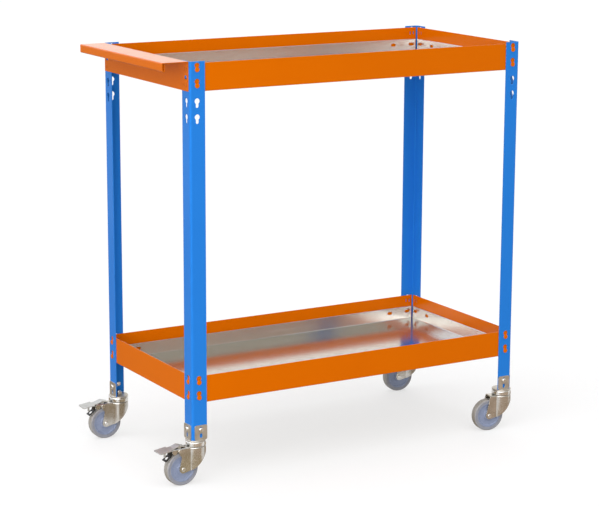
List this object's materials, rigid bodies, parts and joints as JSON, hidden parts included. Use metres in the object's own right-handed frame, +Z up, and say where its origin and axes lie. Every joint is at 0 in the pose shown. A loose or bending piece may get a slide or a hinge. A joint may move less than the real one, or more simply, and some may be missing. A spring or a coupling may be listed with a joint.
{
  "type": "mobile work table",
  "caption": "Two-tier wheeled work table: angle posts with keyholes, hook-in rails, drop-in sheet trays, a folded push handle at one end and braked swivel casters.",
  "frame": {"origin": "on the floor under the middle of the table's bounding box", "axes": "+X along the long side away from the push handle, +Y from front to back, +Z up"},
  "size_m": [0.9921, 0.467, 0.981],
  "materials": {
    "orange_paint": "smooth powder coat, satin",
    "blue_paint": "smooth powder coat, satin",
    "galvanised_sheet": "bright galvanised sheet with a faint spangle",
    "zinc_plate": "bright zinc plate",
    "grey_tyre": "grey non-marking rubber",
    "grey_core": "moulded blue-grey polyamide"
  },
  "bodies": {
    "frame": {"post_front_left": "blue_paint", "post_front_right": "blue_paint", "post_back_right": "blue_paint", "post_back_left": "blue_paint", "top_front_rail": "orange_paint", "top_right_rail": "orange_paint", "top_back_rail": "orange_paint", "top_tray": "galvanised_sheet", "bottom_front_rail": "orange_paint", "bottom_right_rail": "orange_paint", "bottom_back_rail": "orange_paint", "bottom_left_rail": "orange_paint", "bottom_tray": "galvanised_sheet", "push_handle": "orange_paint", "caster_bracket_front_left": "zinc_plate", "swivel_cup_front_left": "zinc_plate", "caster_bracket_front_right": "zinc_plate", "swivel_cup_front_right": "zinc_plate", "caster_bracket_back_right": "zinc_plate", "swivel_cup_back_right": "zinc_plate", "caster_bracket_back_left": "zinc_plate", "swivel_cup_back_left": "zinc_plate", "bracket_bolts": "zinc_plate", "bracket_nuts": "zinc_plate", "king_bolts": "zinc_plate", "king_nuts": "zinc_plate", "king_washers": "zinc_plate", "swivel_balls": "zinc_plate"},
    "front_left_caster": {"front_left_fork": "zinc_plate", "front_left_axle_bolt": "zinc_plate", "front_left_axle_nut": "zinc_plate", "front_left_axle_bush": "zinc_plate", "front_left_brake_pin": "zinc_plate"},
    "front_left_wheel": {"front_left_tyre": "grey_tyre", "front_left_wheel_core": "grey_core"},
    "front_left_brake": {"front_left_brake_pedal": "zinc_plate", "front_left_brake_shoe": "zinc_plate"},
    "front_right_caster": {"front_right_fork": "zinc_plate", "front_right_axle_bolt": "zinc_plate", "front_right_axle_nut": "zinc_plate", "front_right_axle_bush": "zinc_plate"},
    "front_right_wheel": {"front_right_tyre": "grey_tyre", "front_right_wheel_core": "grey_core"},
    "back_right_caster": {"back_right_fork": "zinc_plate", "back_right_axle_bolt": "zinc_plate", "back_right_axle_nut": "zinc_plate", "back_right_axle_bush": "zinc_plate"},
    "back_right_wheel": {"back_right_tyre": "grey_tyre", "back_right_wheel_core": "grey_core"},
    "back_left_caster": {"back_left_fork": "zinc_plate", "back_left_axle_bolt": "zinc_plate", "back_left_axle_nut": "zinc_plate", "back_left_axle_bush": "zinc_plate", "back_left_brake_pin": "zinc_plate"},
    "back_left_wheel": {"back_left_tyre": "grey_tyre", "back_left_wheel_core": "grey_core"},
    "back_left_brake": {"back_left_brake_pedal": "zinc_plate", "back_left_brake_shoe": "zinc_plate"}
  },
  "joints": [
    {"name": "front_left_swivel", "type": "hinge", "parent": "frame", "child": "front_left_caster", "pos_m": [-0.39595, -0.20948, 0.0905], "axis": [0, 0, 1], "continuous": true},
    {"name": "front_left_roll", "type": "hinge", "parent": "front_left_caster", "child": "front_left_wheel", "pos_m": [-0.43425, -0.20948, 0.04], "axis": [0, 1, 0], "continuous": true},
    {"name": "front_left_brake_tip", "type": "hinge", "parent": "front_left_caster", "child": "front_left_brake", "pos_m": [-0.44275, -0.20948, 0.0845], "axis": [0, -1, 0], "range_deg": [0, 9]},
    {"name": "front_right_swivel", "type": "hinge", "parent": "frame", "child": "front_right_caster", "pos_m": [0.47205, -0.20948, 0.0905], "axis": [0, 0, 1], "continuous": true},
    {"name": "front_right_roll", "type": "hinge", "parent": "front_right_caster", "child": "front_right_wheel", "pos_m": [0.43412, -0.20415, 0.04], "axis": [0.1392, 0.9903, 0], "continuous": true},
    {"name": "back_right_swivel", "type": "hinge", "parent": "frame", "child": "back_right_caster", "pos_m": [0.47205, 0.20852, 0.0905], "axis": [0, 0, 1], "continuous": true},
    {"name": "back_right_roll", "type": "hinge", "parent": "back_right_caster", "child": "back_right_wheel", "pos_m": [0.43396, 0.21253, 0.04], "axis": [0.1045, 0.9945, 0], "continuous": true},
    {"name": "back_left_swivel", "type": "hinge", "parent": "frame", "child": "back_left_caster", "pos_m": [-0.39595, 0.20852, 0.0905], "axis": [0, 0, 1], "continuous": true},
    {"name": "back_left_roll", "type": "hinge", "parent": "back_left_caster", "child": "back_left_wheel", "pos_m": [-0.4342, 0.21053, 0.04], "axis": [0.0523, 0.9986, 0], "continuous": true},
    {"name": "back_left_brake_tip", "type": "hinge", "parent": "back_left_caster", "child": "back_left_brake", "pos_m": [-0.44268, 0.21097, 0.0845], "axis": [-0.0523, -0.9986, 0], "range_deg": [0, 9]}
  ]
}
